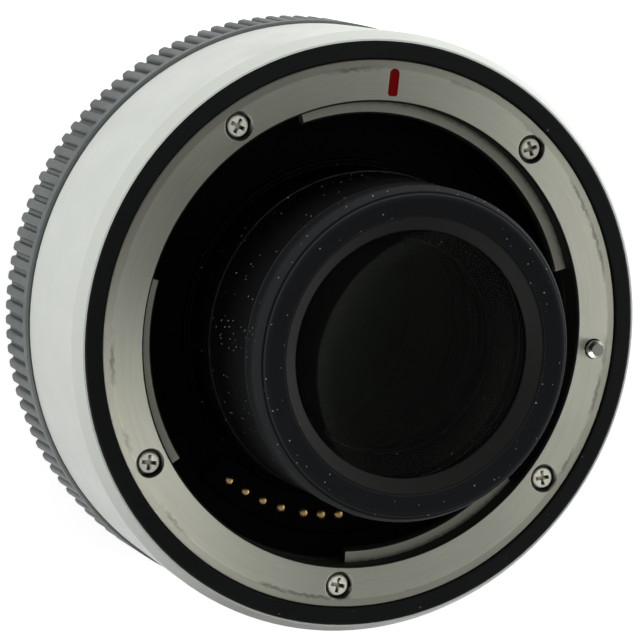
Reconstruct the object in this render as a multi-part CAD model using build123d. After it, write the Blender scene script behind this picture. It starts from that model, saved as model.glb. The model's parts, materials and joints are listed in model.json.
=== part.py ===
from build123d import *
import math
import os

os.makedirs("parts", exist_ok=True)

# Lengths are in millimetres, and names that end in angle, angles or turn are in degrees.
# Z is the optical axis and points at the lens. Zero is the face that meets the camera.
# Angles run from +Y towards +X, as seen from the lens, and the lens index mark is at zero.

# Driving sizes
flange_gap = 28.3
throat_radius = 27.44
barrel_rise = 15.0
overrun = 1.0
seat_gap = 0.02
fit_gap = 0.05
slide_gap = 0.12
wide_gap = 0.3
edge_break = 0.25

# Cross-head screws of every size
recess_reach_share = 1.4
recess_width_share = 0.36
recess_depth_share = 0.7
head_round_share = 0.25

# Lens-side bayonet ring
mount_width = 4.99
mount_thickness = 3.4
mount_bevel_width = 0.9
mount_bevel_drop = 0.07
tab_reach = 1.56
tab_drop = 1.98
tab_root = 0.6
tab_angles = ((-22.2, 70.3), (-126.9, -79.3), (127.7, 177.4))
bolt_inset = 2.36
bolt_angles = (-122.5, -38.5, 38.5, 122.5, 180)
bolt_head_radius = 1.27
bolt_head_height = 1.0
bolt_head_sink = 0.3
bolt_shank_radius = 0.8
bolt_grip = 2.5
bolt_cross_angles = (-3, -21, 22, 11, -8)
counterbore_gap = 0.3
counterbore_chamfer = 0.18
index_length = 3.2
index_width = 1.2
index_corner = 0.3
index_depth = 0.45
index_sink = 0.12

# Leaf springs behind the tabs
leaf_thickness = 0.14
leaf_width = 1.3
leaf_length = 19.0
leaf_bow = 0.55
leaf_angles = (24, -103, 152.5)

# Lock pin, its bush and spring
lock_angle = 90
pin_radius = 1.1
pin_rise = 1.1
pin_chamfer = 0.35
pin_travel = 1.5
pin_stop_radius = 1.6
pin_stop_height = 0.8
pin_foot_radius = 1.75
pin_foot_height = 0.6
pin_leg = 4.35
stud_radius = 0.6
stud_drop = 2.6
rod_radius = 0.7
rod_guide = 2.1
bush_wall = 0.75
spring_length = 5.3
spring_wire = 0.4
spring_turns = 4
post_radius = 2.1

# Release lever and the arm that it turns
release_turn = 6
arm_width = 1.2
arm_height = 6.1
arm_angles = (80, 112)
lever_angle = 101
pad_width = 6.6
pad_height = 4.2
pad_rise = 0.75
pad_corner = 0.9
pad_ribs = 5
pad_rib_pitch = 1.05
pad_rib_radius = 0.28
stem_width = 2.6
stem_height = 2.0
stem_drop = 6.1
pocket_depth = 0.95
pocket_end_gap = 0.74
pocket_side_gap = 0.24
slot_corner = 0.67

# White shell, black trim ring and the seam below the shell
trim_width = 2.04
trim_rise = 0.06
trim_depth = 2.0
trim_edge = 0.15
shell_lip = 0.22
shell_chamfer_width = 0.85
shell_chamfer_height = 1.6
shell_taper = 0.45
shell_wall = 1.35
seam_low = 9.0
seam_height = 0.3
seam_inset = 0.4

# Grip ring
grip_low = 0.8
grip_inset = 0.15
grip_plain = 1.4
rib_count = 123
rib_depth = 0.55
rib_run_out = 0.6
rib_land_share = 0.56
rib_crown_share = 0.3
rib_crown_drop_share = 0.2
rib_floor_share = 0.22
grip_step = 1.8

# Main frame
deck_front = 3.0
deck_rear = 2.6
deck_ledge_width = 1.0
deck_ledge_height = 1.0
frame_wall = 2.05
rear_bore_gap = 0.66
window_margin_angle = 0.4

# Throat liner
liner_floor = 0.9
liner_floor_drop = 7.7
liner_rim_width = 1.1
liner_rim_drop = 5.0
liner_steps = 3
liner_step_width = 0.65
liner_step_height = 0.6

# Contacts that meet the lens
contact_circle_share = 0.828
contact_tip_drop = 6.75
contact_tip_rise = 0.7
contact_pin_radius = 0.6
contact_dome = 0.42
contact_collar_radius = 0.85
contact_collar_height = 0.8
contact_collar_drop = 3.4
contact_tail_radius = 0.35
contact_travel = 0.8
contact_spring_height = 3.0
contact_spring_wall = 0.3
contact_first_angle = -146.65
contact_first_step_angle = 6.4
contact_first_count = 4
contact_second_angle = -173.55
contact_second_step_angle = 5.75
contact_second_count = 8
block_half_angle = 40.5
block_gap = 0.54
block_outer = 2.0
block_corner = 0.8
plateau_rise = 0.45
plateau_step = 0.3
plateau_corner = 0.3
plateau_angles = (-169.7, -140.3)
base_height = 1.0

# Lens barrel and nose
barrel_base_share = 0.73
barrel_base_step = 0.61
barrel_base_drop = 7.0
barrel_collar_step = 0.14
barrel_collar_drop = 0.5
barrel_wall = 1.98
barrel_foot_inset = 0.9
barrel_foot_height = 1.5
nose_height = 4.0
nose_chamfer_width = 0.62
nose_chamfer_height = 1.3
nose_round = 0.9
nose_dish = 0.25
nose_bore_gap = 0.81
nose_web = 1.25
bezel_width = 1.73
bezel_sink = 0.4
bezel_slope = 1.35
bezel_foot = 0.75
bezel_lip = 0.38
foot_screw_angles = (20, 110, 200, 290)
foot_screw_head_radius = 0.95
foot_screw_head_height = 0.7
foot_screw_shank_radius = 0.55
foot_screw_length = 3.4

# Glass. The curves are shares of the front glass's radius, from the lens side to the camera side.
# A curve is positive where the rim lies lower than the middle of the face.
glass_share = 0.555
front_curve_shares = (5.91, -3.94, 5.25)
middle_curve_shares = (2.5, -1.97, 2.23, -7.88)
rear_curve_shares = (-1.71, -3.94, 4.6, -3.61)
rim_land = 0.8
glass_drop = 1.75
cement_gap = 0.02
lens_1_rim = 2.4
lens_2_middle = 1.8
front_air = 2.4
middle_step = 2.2
lens_3_rim = 1.0
lens_4_middle = 1.6
lens_5_rim = 1.0
front_bore_step = 1.6
rear_shoulder = 15.0
rear_step = 1.2
lens_6_middle = 1.8
lens_7_front = 5.0
lens_7_rim = 3.1
cell_foot_width = 2.25
cell_foot_height = 1.5
cell_end = 3.2
keeper_width = 1.1

# Camera-side bayonet ring
rear_flange_width = 4.6
rear_flange_thickness = 2.0
register_gap = 0.14
register_height = 1.75
neck_gap = 0.28
neck_height = 1.8
neck_wall = 1.1
lug_gap = 0.24
lug_height = 1.35
lug_chamfer = 0.3
lug_angles = ((-17.7, 36.3), (-121.7, -67.7), (132, 186))
rear_bolt_inset = 2.3
rear_bolt_angles = (-90, -18, 54, 126, 198)
rear_bolt_head_radius = 1.45
rear_bolt_head_sink = 0.2
lock_slot_width = 2.8
lock_slot_length = 3.5
lock_slot_depth = 1.4
shim_thickness = 0.2
shim_inset = 0.8

# Rubber seal, rear trim ring and camera-side index mark
seal_width = 1.4
seal_proud = 0.3
seal_bevel = 0.47
rear_trim_low = 0.45
rear_trim_width = 0.9
rear_index_angle = 60
rear_index_width = 1.2
rear_index_height = 0.9
rear_index_depth = 0.25

# Camera-side baffle and contacts
baffle_end = 6.0
baffle_collar = 0.85
baffle_plate = 0.8
baffle_slope = 1.5
baffle_bore_gap = 0.15
rear_block_end = 5.9
rear_block_top = 1.7
pad_radius = 0.85
pad_depth = 0.5
pad_proud = 0.05

# Circuit board and flexible leads
board_rise = 3.4
board_thickness = 1.0
board_inset = 0.6
board_inner_gap = 0.8
board_angles = (113, 350)
board_post_angles = (128, 232, 320)
board_post_radius = 1.8
board_post_inset = 4.2
board_screw_radius = 0.6
board_screw_head = 1.1
board_screw_head_height = 0.7
board_screw_length = 3.2
chip_angles = (143, 215, 252, 290)
chip_widths = (3.0, 5.0, 4.0, 7.5)
chip_depth = 3.2
chip_height = 1.1
chip_inset = 3.6
flex_thickness = 0.2
flex_half_angle = 7
flex_slot_angle = 1
flex_tongue = 2.2
front_flex_angle = 162
rear_flex_angle = 200

# Heights of the frame, rings and contacts
front_face = flange_gap
tab_face = front_face - tab_drop
mount_floor = front_face - mount_thickness
front_deck_low = mount_floor - deck_front
rear_deck_low = rear_flange_thickness + shim_thickness
rear_deck_high = rear_deck_low + deck_rear
shell_low = seam_low + seam_height
liner_floor_top = front_face - liner_floor_drop
liner_rim_top = front_face - liner_rim_drop
contact_tip = front_face - contact_tip_drop
block_top = contact_tip - contact_tip_rise
collar_top = contact_tip - contact_collar_drop
base_top = collar_top - contact_collar_height - contact_spring_height
base_low = base_top - base_height
board_low = rear_deck_high + board_rise
board_high = board_low + board_thickness

# Heights of the nose
nose_top = front_face + barrel_rise
nose_low = nose_top - nose_height
nose_web_low = nose_top - nose_dish - nose_web - bezel_slope + bezel_sink
glass_edge = nose_top - glass_drop

# Radii from the throat outwards
mount_radius = throat_radius + mount_width
tab_radius = throat_radius - tab_reach
bolt_radius = throat_radius + bolt_inset
trim_inner = mount_radius + fit_gap
trim_outer = trim_inner + trim_width
lip_inner = trim_outer + seat_gap
body_radius = lip_inner + shell_lip + shell_chamfer_width
shell_foot = body_radius - shell_taper
shell_inner = shell_foot - shell_wall
frame_radius = shell_inner - fit_gap
wall_inner = frame_radius - frame_wall
seam_radius = shell_foot - seam_inset
grip_radius = body_radius - grip_inset
deck_bore = throat_radius - seat_gap
ledge_bore = deck_bore - deck_ledge_width

# Radii of the camera-side bayonet, which goes into a throat of the same size
register_radius = throat_radius - register_gap
neck_radius = tab_radius - neck_gap
lug_radius = throat_radius - lug_gap
neck_bore = neck_radius - neck_wall
rear_flange_radius = register_radius + rear_flange_width
rear_bolt_radius = register_radius + rear_bolt_inset
seal_inner = rear_flange_radius + fit_gap
seal_outer = seal_inner + seal_width
rear_trim_inner = seal_outer + fit_gap
rear_trim_outer = rear_trim_inner + rear_trim_width

# Radii of the contacts, barrel and glass
contact_radius = throat_radius * contact_circle_share
barrel_base_radius = throat_radius * barrel_base_share
front_rim = throat_radius * glass_share
collar_radius = barrel_base_radius - barrel_base_step
barrel_radius = collar_radius - barrel_collar_step
barrel_bore = barrel_radius - barrel_wall
barrel_foot_radius = neck_bore - barrel_foot_inset
foot_screw_reach = (barrel_base_radius + barrel_foot_radius) / 2
block_inner_radius = barrel_base_radius + block_gap
block_outer_radius = contact_radius + block_outer
cell_radius = barrel_bore - fit_gap
rear_bore = cell_radius + cell_foot_width + rear_bore_gap
nose_bore = front_rim + nose_bore_gap
middle_rim = front_rim - middle_step
rear_rim = front_rim - rear_step
front_reach = front_rim - rim_land
middle_reach = middle_rim - rim_land
rear_reach = rear_rim - rim_land
board_post_reach = wall_inner - board_post_inset
board_inner_radius = barrel_foot_radius + board_inner_gap

# Places of the contacts round the axis
contact_angles = [contact_first_angle - contact_first_step_angle * step for step in range(contact_first_count)]
contact_angles += [contact_second_angle - contact_second_step_angle * step
                   for step in range(contact_second_count)]
block_angles = (180 - block_half_angle, 180 + block_half_angle)

# Heights of the lock mechanism
pin_stop_top = front_deck_low - fit_gap
pin_foot_top = pin_stop_top - pin_leg
pin_foot_low = pin_foot_top - pin_foot_height
spring_low = pin_foot_low - spring_length
stud_height = pin_stop_top - stud_drop
arm_outer = frame_radius - wide_gap
arm_inner = arm_outer - arm_width
arm_top = front_deck_low - wide_gap
arm_low = arm_top - arm_height
lever_height = mount_floor - stem_drop


# Geometry shared by the pieces


def polar(radius, angle):
    turn = math.radians(angle)
    return radius * math.sin(turn), radius * math.cos(turn)


def outline(points):
    return make_face(Polyline(*points, close=True))


def band(inner, outer, low, high):
    return [(inner, low), (outer, low), (outer, high), (inner, high)]


def turned(points):
    return revolve(Plane.XZ * outline(points), Axis.Z)


def ring(inner, outer, low, high):
    return turned(band(inner, outer, low, high))


def sector(points, angles):
    start, end = angles
    return Rot(0, 0, -end) * revolve(Plane.YZ * outline(points), Axis.Z, revolution_arc=end - start)


def cornered_band(inner, outer, low, high, angles, corner):
    # A band bent round the axis, with straight ends and rounded corners
    body = sector(band(inner, outer, low, high), angles)
    return fillet(body.edges().filter_by(Axis.Z), corner)


def widened(angles, radius, gap):
    spread = math.degrees(gap / radius)
    return angles[0] - spread, angles[1] + spread


def post(radius, low, high, reach=0, angle=0):
    x, y = polar(reach, angle)
    return Pos(x, y, low) * extrude(Circle(radius), high - low)


def posts(radius, low, high, reach, angles):
    return [post(radius, low, high, reach, angle) for angle in angles]


def side_plane(angle, height):
    x, y = polar(1, angle)
    return Plane(origin=(0, 0, height), x_dir=(-y, x, 0), z_dir=(x, y, 0))


def radial_bar(angle, height, sketch, inner, outer):
    # A sketch pushed out from the axis at an angle, kept between two radii
    bar = extrude(side_plane(angle, height) * sketch, outer + overrun)
    reach = sketch.bounding_box().size.Y
    return bar & ring(inner, outer, height - reach, height + reach)


def place_round(shape, reach, angle, height, turn=0):
    x, y = polar(reach, angle)
    return Pos(x, y, height) * Rot(0, 0, turn - angle) * shape


def screw(head_radius, head_height, shank_radius, length):
    # The head's top is at zero and the shank points down
    cross = Rectangle(recess_reach_share * head_radius, recess_width_share * head_radius)
    head = extrude(Circle(head_radius), -head_height)
    head = fillet(head.edges().sort_by(Axis.Z)[-1], head_round_share * head_height)
    shank = Pos(0, 0, -head_height) * extrude(Circle(shank_radius), -length)
    recess = extrude(cross + Rot(0, 0, 90) * cross, -recess_depth_share * head_height)
    return head + shank - recess


def sag(curve, height):
    return math.copysign(abs(curve) - math.sqrt(curve**2 - height**2), curve)


# Lens-side bayonet ring and what sits in it


def front_mount_ring():
    edge = mount_radius - edge_break
    shoulder = front_face - mount_bevel_drop
    body = turned([
        (throat_radius, mount_floor),
        (mount_radius, mount_floor),
        (mount_radius, shoulder - edge_break),
        (edge, shoulder),
        (edge - mount_bevel_width, front_face),
        (throat_radius + edge_break, front_face),
        (throat_radius, front_face - edge_break),
    ])
    tab = [
        (tab_radius, mount_floor),
        (throat_radius + tab_root, mount_floor),
        (throat_radius + tab_root, tab_face),
        (tab_radius + edge_break, tab_face),
        (tab_radius, tab_face - edge_break),
    ]
    for angles in tab_angles:
        body += sector(tab, angles)
    body -= [counterbore(angle) for angle in bolt_angles]
    body -= posts(bolt_shank_radius + slide_gap, mount_floor - overrun, front_face, bolt_radius, bolt_angles)
    body -= post(pin_radius + slide_gap, mount_floor - overrun, front_face + overrun, bolt_radius, lock_angle)
    return body - index_slot(index_length, index_width, front_face - index_depth, front_face + overrun)


def counterbore(angle):
    radius = bolt_head_radius + counterbore_gap
    rim = front_face - counterbore_chamfer
    hole = turned([
        (0, front_face - bolt_head_sink - bolt_head_height),
        (radius, front_face - bolt_head_sink - bolt_head_height),
        (radius, rim),
        (radius + counterbore_chamfer + overrun, front_face + overrun),
        (0, front_face + overrun),
    ])
    return place_round(hole, bolt_radius, angle, 0)


def index_slot(length, width, low, high):
    # Round at its outer end, with small corners at its inner end
    slot = Rot(0, 0, 90) * SlotOverall(length, width)
    slot += Pos(0, -length / 4) * RectangleRounded(width, length / 2, index_corner)
    return Pos(0, bolt_radius, low) * extrude(slot, high - low)


def front_index_mark():
    length, width = index_length - 2 * seat_gap, index_width - 2 * seat_gap
    return index_slot(length, width, front_face - index_depth, front_face - index_sink)


def front_mount_screws():
    length = mount_thickness + bolt_grip - bolt_head_sink - bolt_head_height
    one = screw(bolt_head_radius, bolt_head_height, bolt_shank_radius, length)
    return Part() + [place_round(one, bolt_radius, angle, front_face - bolt_head_sink, cross + angle)
                     for angle, cross in zip(bolt_angles, bolt_cross_angles)]


def bayonet_leaf_springs():
    # Each leaf is a bowed strip whose ends bear on the back of the ring
    half, low = leaf_length / 2, leaf_bow + leaf_thickness
    upper = ThreePointArc((-half, 0), (0, -leaf_bow), (half, 0))
    lower = ThreePointArc((half, -leaf_thickness), (0, -low), (-half, -leaf_thickness))
    sides = Line((half, 0), (half, -leaf_thickness)) + Line((-half, -leaf_thickness), (-half, 0))
    strip = make_face(upper + lower + sides)
    outer = deck_bore - fit_gap
    return Part() + [radial_bar(angle, mount_floor - seat_gap, strip, outer - leaf_width, outer)
                     for angle in leaf_angles]


# Lock pin and the parts that carry and move it


def lock_pin():
    tip = front_face + pin_rise
    body = turned([
        (0, spring_low - rod_guide),
        (rod_radius, spring_low - rod_guide),
        (rod_radius, pin_foot_low),
        (pin_foot_radius, pin_foot_low),
        (pin_foot_radius, pin_foot_top),
        (pin_radius, pin_foot_top),
        (pin_radius, pin_stop_top - pin_stop_height),
        (pin_stop_radius, pin_stop_top - pin_stop_height),
        (pin_stop_radius, pin_stop_top),
        (pin_radius, pin_stop_top),
        (pin_radius, tip - pin_chamfer),
        (pin_radius - pin_chamfer, tip),
        (0, tip),
    ])
    stud = extrude(side_plane(lock_angle, stud_height) * Circle(stud_radius), arm_outer)
    inward = post(bolt_radius, arm_low - overrun, arm_top)
    return place_round(body, bolt_radius, lock_angle, 0) + (stud - inward)


def lock_pin_bush():
    bush = ring(pin_radius + fit_gap, pin_radius + bush_wall, front_deck_low, mount_floor)
    return place_round(bush, bolt_radius, lock_angle, 0)


def lock_pin_spring():
    # One wire wound as a helix, clear of the seat at each end
    middle = rod_radius + slide_gap + spring_wire / 2
    rise = spring_length - spring_wire - 2 * fit_gap
    coil = Helix(rise / spring_turns, rise, middle)
    start = Plane(origin=coil @ 0, z_dir=coil % 0)
    wire = sweep(start * Circle(spring_wire / 2), coil)
    return place_round(wire, bolt_radius, lock_angle, spring_low + fit_gap + spring_wire / 2)


def release_arm():
    # A curved plate with a slanting slot that draws the pin's stud down as the plate turns
    body = sector(band(arm_inner, arm_outer, arm_low, arm_top), arm_angles)
    sweep_length = (arm_inner + arm_outer) / 2 * math.radians(release_turn)
    slope = math.degrees(math.atan2(pin_travel, sweep_length))
    slot = SlotCenterToCenter(math.hypot(sweep_length, pin_travel), 2 * (stud_radius + slide_gap))
    middle = stud_height - pin_travel / 2
    cut = radial_bar(lock_angle + release_turn / 2, middle, Rot(0, 0, slope) * slot,
                     arm_inner - overrun, arm_outer + overrun)
    socket = Rectangle(stem_width + 2 * seat_gap, stem_height + 2 * seat_gap)
    return body - cut - radial_bar(lever_angle, lever_height, socket, arm_inner - overrun, arm_outer + overrun)


def release_lever():
    pad = RectangleRounded(pad_width, pad_height, pad_corner)
    floor = body_radius - pocket_depth + slide_gap
    body = radial_bar(lever_angle, lever_height, pad, floor, body_radius + pad_rise)
    body += radial_bar(lever_angle, lever_height, Rectangle(stem_width, stem_height), arm_inner, body_radius)
    for step in range(pad_ribs):
        offset = (step - (pad_ribs - 1) / 2) * pad_rib_pitch
        angle = lever_angle + math.degrees(offset / body_radius)
        low, high = lever_height - pad_height, lever_height + pad_height
        body -= post(pad_rib_radius, low, high, body_radius + pad_rise, angle)
    return body


# White shell, trim ring and seam


def release_pocket():
    # The sunk field in the shell that the thumb pad slides in, and the slot for its stem
    swing = body_radius * math.radians(release_turn)
    middle = lever_angle - release_turn / 2
    field = RectangleRounded(pad_width + swing + 2 * pocket_end_gap, pad_height + 2 * pocket_side_gap, pad_corner)
    slot = RectangleRounded(stem_width + swing + 2 * pocket_side_gap, stem_height + 2 * slide_gap, slot_corner)
    floor = body_radius - pocket_depth
    pocket = radial_bar(middle, lever_height, field, floor, body_radius + overrun)
    return pocket + radial_bar(middle, lever_height, slot, shell_inner - overrun, floor + overrun)


def body_shell():
    trim_ledge = front_face - trim_depth
    body = turned([
        (shell_inner, shell_low),
        (shell_foot - edge_break, shell_low),
        (shell_foot, shell_low + edge_break),
        (body_radius, front_face - shell_chamfer_height),
        (body_radius - shell_chamfer_width, front_face),
        (lip_inner, front_face),
        (lip_inner, trim_ledge),
        (shell_inner, trim_ledge),
    ])
    return body - release_pocket()


def front_trim_ring():
    top = front_face + trim_rise
    return turned([
        (trim_inner, mount_floor + seat_gap),
        (frame_radius, mount_floor + seat_gap),
        (frame_radius, front_face - trim_depth + seat_gap),
        (trim_outer, front_face - trim_depth + seat_gap),
        (trim_outer, top - trim_edge),
        (trim_outer - trim_edge, top),
        (trim_inner + trim_edge, top),
        (trim_inner, top - trim_edge),
    ])


def seam_band():
    return ring(shell_inner, seam_radius, seam_low + seat_gap, shell_low - seat_gap)


# Grip ring


def grip_ring():
    plain_low = seam_low - grip_plain
    ledge_radius = rear_trim_outer + seat_gap
    body = turned([
        (ledge_radius, grip_low),
        (grip_radius - rib_depth, grip_low),
        (grip_radius - rib_depth, plain_low - rib_run_out),
        (grip_radius, plain_low),
        (grip_radius, seam_low - edge_break),
        (grip_radius - edge_break, seam_low),
        (shell_inner, seam_low),
        (shell_inner, grip_low + grip_step),
        (ledge_radius, grip_low + grip_step),
    ])
    body += ribbed_band(plain_low)
    return body - rear_index_bar(rear_index_width, rear_index_height, body_radius)


def ribbed_band(high):
    # Each rib has a flat crown with a soft corner on either side, and the valleys have a flat floor
    pitch = 360 / rib_count
    land, floor = pitch * rib_land_share / 2, pitch * rib_floor_share / 2
    crown, low_radius = pitch * rib_crown_share / 2, grip_radius - rib_depth
    corner_radius = grip_radius - rib_depth * rib_crown_drop_share
    points = []
    for step in range(rib_count):
        middle = step * pitch
        points += [polar(corner_radius, middle - land), polar(grip_radius, middle - crown)]
        points += [polar(grip_radius, middle + crown), polar(corner_radius, middle + land)]
        points += [polar(low_radius, middle + pitch / 2 - floor), polar(low_radius, middle + pitch / 2 + floor)]
    teeth = Pos(0, 0, grip_low) * extrude(outline(points), high - grip_low)
    return teeth - post(low_radius - edge_break, grip_low - overrun, high + overrun)


def rear_index_bar(width, height, outer):
    middle = seam_low - grip_plain / 2
    return radial_bar(rear_index_angle, middle, Rectangle(width, height), grip_radius - rear_index_depth, outer)


def rear_index_mark():
    return rear_index_bar(rear_index_width - 2 * seat_gap, rear_index_height - 2 * seat_gap, grip_radius)


# Main frame, liner and circuit board


def chassis():
    body = turned([
        (rear_bore, rear_deck_low),
        (frame_radius, rear_deck_low),
        (frame_radius, mount_floor),
        (deck_bore, mount_floor),
        (deck_bore, front_deck_low + deck_ledge_height),
        (ledge_bore, front_deck_low + deck_ledge_height),
        (ledge_bore, front_deck_low),
        (wall_inner, front_deck_low),
        (wall_inner, rear_deck_high),
        (rear_bore, rear_deck_high),
    ])
    window = (arm_angles[0] - release_turn - window_margin_angle, arm_angles[1] + window_margin_angle)
    opening = band(wall_inner - overrun, frame_radius + overrun, arm_low - slide_gap, front_deck_low)
    body -= sector(opening, window)
    body += post(post_radius, rear_deck_high - overrun, spring_low, bolt_radius, lock_angle)
    body += posts(board_post_radius, rear_deck_high - overrun, board_low, board_post_reach, board_post_angles)
    body -= posts(bolt_shank_radius + fit_gap, front_deck_low - overrun, mount_floor + overrun, bolt_radius,
                  bolt_angles)
    body -= post(pin_radius + bush_wall + seat_gap, front_deck_low - overrun, mount_floor + overrun, bolt_radius,
                 lock_angle)
    rod_end = spring_low - rod_guide - pin_travel - wide_gap
    body -= post(rod_radius + slide_gap, rod_end, spring_low + overrun, bolt_radius, lock_angle)
    body -= posts(board_screw_radius + fit_gap, rear_deck_high, board_low + overrun, board_post_reach,
                  board_post_angles)
    body -= posts(bolt_shank_radius + fit_gap, rear_deck_low - overrun, rear_deck_high + overrun,
                  rear_bolt_radius, rear_bolt_angles)
    body -= posts(foot_screw_shank_radius + fit_gap, rear_deck_low - overrun, rear_deck_high + overrun,
                  foot_screw_reach, foot_screw_angles)
    return body - flex_slot()


def throat_liner():
    rim_low = front_deck_low + deck_ledge_height + seat_gap
    outer, wall = deck_bore - fit_gap, ledge_bore - fit_gap
    inner = barrel_base_radius + slide_gap
    profile = [
        (inner, liner_floor_top - liner_floor),
        (wall, liner_floor_top - liner_floor),
        (wall, rim_low),
        (outer, rim_low),
        (outer, liner_rim_top),
    ]
    for step in range(liner_steps):
        radius = outer - liner_rim_width - step * liner_step_width
        height = liner_rim_top - step * liner_step_height
        profile += [(radius, height), (radius, height - liner_step_height)]
    profile[-1] = (radius, liner_floor_top)
    profile.append((inner, liner_floor_top))
    cut = cornered_band(block_inner_radius - fit_gap, block_outer_radius + fit_gap,
                        liner_floor_top - liner_floor - overrun, liner_floor_top + overrun,
                        widened(block_angles, block_inner_radius, fit_gap), block_corner)
    return turned(profile) - cut


def circuit_board():
    body = sector(band(board_inner_radius, wall_inner - board_inset, board_low, board_high), board_angles)
    return body - posts(board_screw_radius + fit_gap, board_low - overrun, board_high + overrun,
                        board_post_reach, board_post_angles)


def board_screws():
    one = screw(board_screw_head, board_screw_head_height, board_screw_radius, board_screw_length)
    return Part() + [place_round(one, board_post_reach, angle, board_high + board_screw_head_height)
                     for angle in board_post_angles]


def board_chips():
    chips = []
    for angle, width in zip(chip_angles, chip_widths):
        chip = extrude(Rectangle(width, chip_depth), chip_height)
        chips.append(place_round(chip, wall_inner - chip_inset, angle, board_high))
    return Part() + chips


def flex_span(angle, spread=0):
    return angle - flex_half_angle - spread, angle + flex_half_angle + spread


def flex_slot():
    inner = barrel_foot_radius + fit_gap
    cut = band(inner, inner + flex_thickness + wide_gap, rear_deck_low - overrun, rear_deck_high + overrun)
    return sector(cut, flex_span(rear_flex_angle, flex_slot_angle))


def front_flex():
    # From under the contact base, down and out onto the board
    leg = block_outer_radius + wide_gap
    top, foot = base_low - seat_gap, board_high + seat_gap
    return sector([
        (leg - flex_tongue, top - flex_thickness),
        (leg, top - flex_thickness),
        (leg, foot),
        (leg + flex_thickness + flex_tongue, foot),
        (leg + flex_thickness + flex_tongue, foot + flex_thickness),
        (leg + flex_thickness, foot + flex_thickness),
        (leg + flex_thickness, top),
        (leg - flex_tongue, top),
    ], flex_span(front_flex_angle))


def rear_flex():
    # From the board, down through the slot in the rear deck and in over the camera-side contact block
    leg = barrel_foot_radius + slide_gap
    top, foot = board_high + seat_gap, rear_block_top + seat_gap
    return sector([
        (leg, top + flex_thickness),
        (leg, foot + flex_thickness),
        (leg - flex_tongue, foot + flex_thickness),
        (leg - flex_tongue, foot),
        (leg + flex_thickness, foot),
        (leg + flex_thickness, top),
        (leg + flex_tongue, top),
        (leg + flex_tongue, top + flex_thickness),
    ], flex_span(rear_flex_angle))


# Contacts that meet the lens


def contact_block():
    body = cornered_band(block_inner_radius, block_outer_radius, base_top, block_top, block_angles, block_corner)
    body += cornered_band(block_inner_radius, block_outer_radius - plateau_step, block_top - overrun,
                          block_top + plateau_rise, plateau_angles, plateau_corner)
    body -= posts(contact_pin_radius + fit_gap, base_top, block_top + overrun, contact_radius, contact_angles)
    return body - posts(contact_collar_radius + fit_gap, base_top - overrun, collar_top + seat_gap,
                        contact_radius, contact_angles)


def contact_base():
    body = cornered_band(block_inner_radius, block_outer_radius, base_low, base_top - seat_gap, block_angles,
                         block_corner)
    return body - posts(contact_tail_radius + fit_gap, base_low - overrun, base_top + overrun,
                        contact_radius, contact_angles)


def contact_pins():
    collar_low = collar_top - contact_collar_height
    tail_low = base_low + contact_travel
    one = turned([
        (0, tail_low),
        (contact_tail_radius, tail_low),
        (contact_tail_radius, collar_low),
        (contact_collar_radius, collar_low),
        (contact_collar_radius, collar_top),
        (contact_pin_radius, collar_top),
        (contact_pin_radius, contact_tip),
        (0, contact_tip),
    ])
    one = fillet(one.edges().sort_by(Axis.Z)[-1], contact_dome)
    return Part() + [place_round(one, contact_radius, angle, 0) for angle in contact_angles]


def contact_springs():
    inner = contact_tail_radius + seat_gap
    one = ring(inner, inner + contact_spring_wall, base_top + seat_gap,
               collar_top - contact_collar_height - seat_gap)
    return Part() + [place_round(one, contact_radius, angle, 0) for angle in contact_angles]


# Lens barrel and nose


def lens_barrel():
    base_top_height = front_face - barrel_base_drop
    collar_height = front_face - barrel_collar_drop
    body = turned([
        (barrel_bore, rear_deck_high + seat_gap),
        (barrel_foot_radius, rear_deck_high + seat_gap),
        (barrel_foot_radius, rear_deck_high + barrel_foot_height),
        (barrel_base_radius, rear_deck_high + barrel_foot_height),
        (barrel_base_radius, base_top_height),
        (collar_radius, base_top_height),
        (collar_radius, collar_height),
        (barrel_radius, collar_height),
        (barrel_radius, nose_low),
        (barrel_bore, nose_low),
    ])
    return body - posts(foot_screw_shank_radius + fit_gap, rear_deck_high - overrun,
                        rear_deck_high + barrel_foot_height + overrun, foot_screw_reach, foot_screw_angles)


def barrel_screws():
    one = screw(foot_screw_head_radius, foot_screw_head_height, foot_screw_shank_radius, foot_screw_length)
    height = rear_deck_high + barrel_foot_height + foot_screw_head_height
    return Part() + [place_round(one, foot_screw_reach, angle, height) for angle in foot_screw_angles]


def nose_ring():
    profile = outline([
        (barrel_bore + fit_gap, nose_low + seat_gap),
        (barrel_radius + fit_gap, nose_low + seat_gap),
        (barrel_radius + fit_gap, nose_top - nose_chamfer_height),
        (barrel_radius - nose_chamfer_width, nose_top),
        (nose_bore, nose_top - nose_dish),
        (nose_bore, nose_web_low),
        (barrel_bore + fit_gap, nose_web_low),
    ])
    crown = profile.vertices().filter_by(lambda corner: corner.X > nose_bore and corner.Y > glass_edge)
    return revolve(Plane.XZ * fillet(crown, nose_round), Axis.Z)


def front_retaining_ring():
    outer = nose_bore - seat_gap
    high = nose_top - bezel_sink
    return turned([
        (outer - bezel_foot, glass_edge + fit_gap),
        (outer, glass_edge + fit_gap),
        (outer, high),
        (outer - edge_break, high),
        (outer - bezel_width, glass_edge + bezel_lip),
        (outer - bezel_width, glass_edge + fit_gap),
    ])


# Glass, from the lens side to the camera side

lens_1_curve, cement_1_curve, lens_2_curve = [front_rim * share for share in front_curve_shares]
lens_3_curve, cement_2_curve, cement_3_curve, lens_5_curve = [front_rim * share for share in middle_curve_shares]
lens_6_curve, lens_6_back_curve, lens_7_curve, lens_7_back_curve = [front_rim * share
                                                                    for share in rear_curve_shares]

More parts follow.
